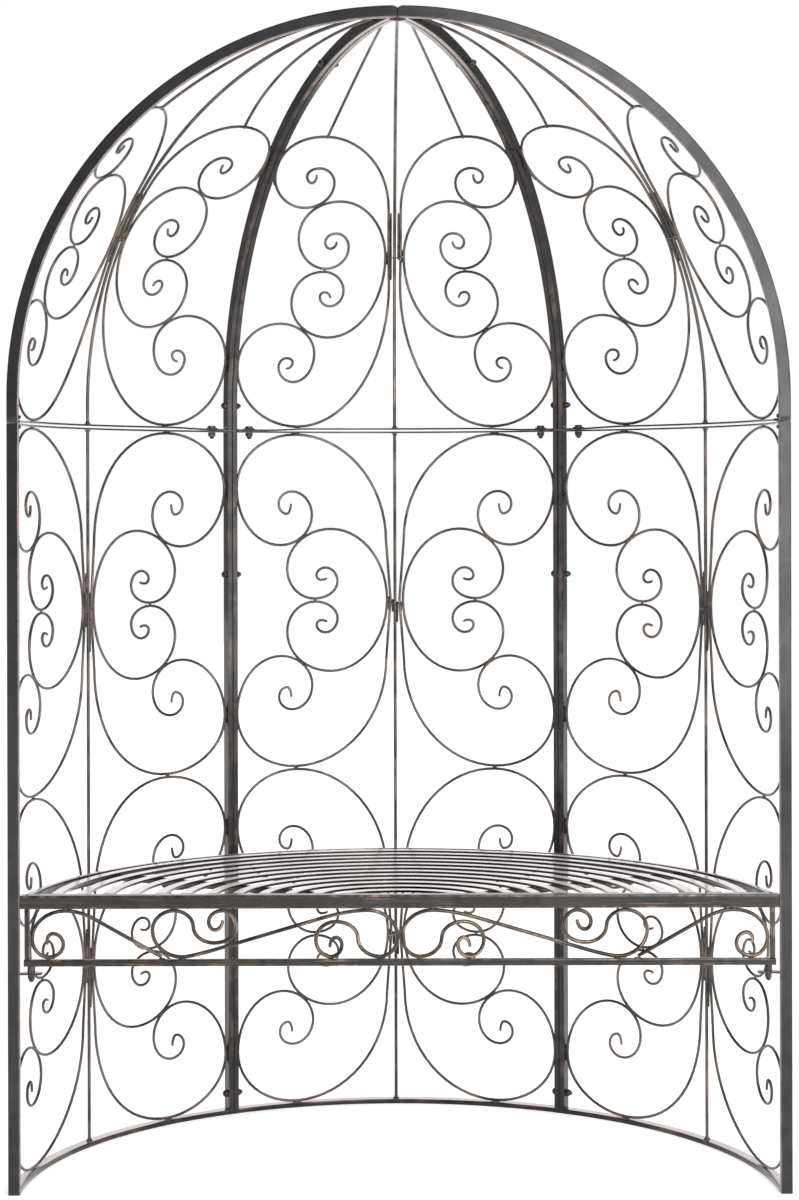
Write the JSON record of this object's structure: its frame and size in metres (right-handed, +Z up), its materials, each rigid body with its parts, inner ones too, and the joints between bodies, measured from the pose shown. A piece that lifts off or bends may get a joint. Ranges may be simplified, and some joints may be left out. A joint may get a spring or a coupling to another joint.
{
  "type": "arbour seat",
  "caption": "Half round wrought iron garden arbour with a domed top, scrollwork panels and a built-in slatted bench with a scrolled apron.",
  "frame": {"origin": "on the floor, at the middle of the plan's bounding box", "axes": "+X to the right seen from the front, +Y to the rear, +Z up"},
  "size_m": [1.27, 0.635, 1.925],
  "materials": {
    "frame_iron": "black powder coat with bronze rubbed edges",
    "scroll_iron": "black powder coat, bronze rubbed",
    "bench_iron": "black powder coat with bronze rubbed edges",
    "apron_iron": "black coat, strongly bronze rubbed",
    "bolt_iron": "black, slightly glossy"
  },
  "bodies": {
    "root": {"left_wall_left_stile": "frame_iron", "left_wall_right_stile": "frame_iron", "left_wall_bottom_rail": "frame_iron", "left_wall_top_rail": "frame_iron", "left_dome_left_rib": "frame_iron", "left_dome_right_rib": "frame_iron", "left_dome_foot_rail": "frame_iron", "left_wall_grille": "scroll_iron", "left_dome_grille": "scroll_iron", "rear_wall_left_stile": "frame_iron", "rear_wall_right_stile": "frame_iron", "rear_wall_bottom_rail": "frame_iron", "rear_wall_top_rail": "frame_iron", "rear_dome_left_rib": "frame_iron", "rear_dome_right_rib": "frame_iron", "rear_dome_foot_rail": "frame_iron", "rear_wall_grille": "scroll_iron", "rear_dome_grille": "scroll_iron", "right_wall_left_stile": "frame_iron", "right_wall_right_stile": "frame_iron", "right_wall_bottom_rail": "frame_iron", "right_wall_top_rail": "frame_iron", "right_dome_left_rib": "frame_iron", "right_dome_right_rib": "frame_iron", "right_dome_foot_rail": "frame_iron", "right_wall_grille": "scroll_iron", "right_dome_grille": "scroll_iron", "left_ring_bolt_right": "bolt_iron", "rear_ring_bolt_right": "bolt_iron", "rear_ring_bolt_left": "bolt_iron", "right_ring_bolt_left": "bolt_iron", "seat_front_rail": "bench_iron", "seat_rim": "bench_iron", "seat_slat_01": "bench_iron", "seat_slat_02": "bench_iron", "seat_slat_03": "bench_iron", "seat_slat_04": "bench_iron", "seat_slat_05": "bench_iron", "seat_slat_06": "bench_iron", "seat_slat_07": "bench_iron", "seat_slat_08": "bench_iron", "seat_slat_09": "bench_iron", "seat_slat_10": "bench_iron", "seat_slat_11": "bench_iron", "seat_slat_12": "bench_iron", "seat_support_left": "bench_iron", "seat_support_right": "bench_iron", "seat_bracket_left": "bench_iron", "seat_bracket_right": "bench_iron", "apron_end_bar_left": "bench_iron", "apron_tab_left": "bench_iron", "apron_end_scroll_left": "apron_iron", "apron_long_scroll_left": "apron_iron", "apron_bolt_left": "bolt_iron", "apron_end_bar_right": "bench_iron", "apron_tab_right": "bench_iron", "apron_end_scroll_right": "apron_iron", "apron_long_scroll_right": "apron_iron", "apron_bolt_right": "bolt_iron", "apron_bottom_rail": "bench_iron"}
  },
  "joints": []
}
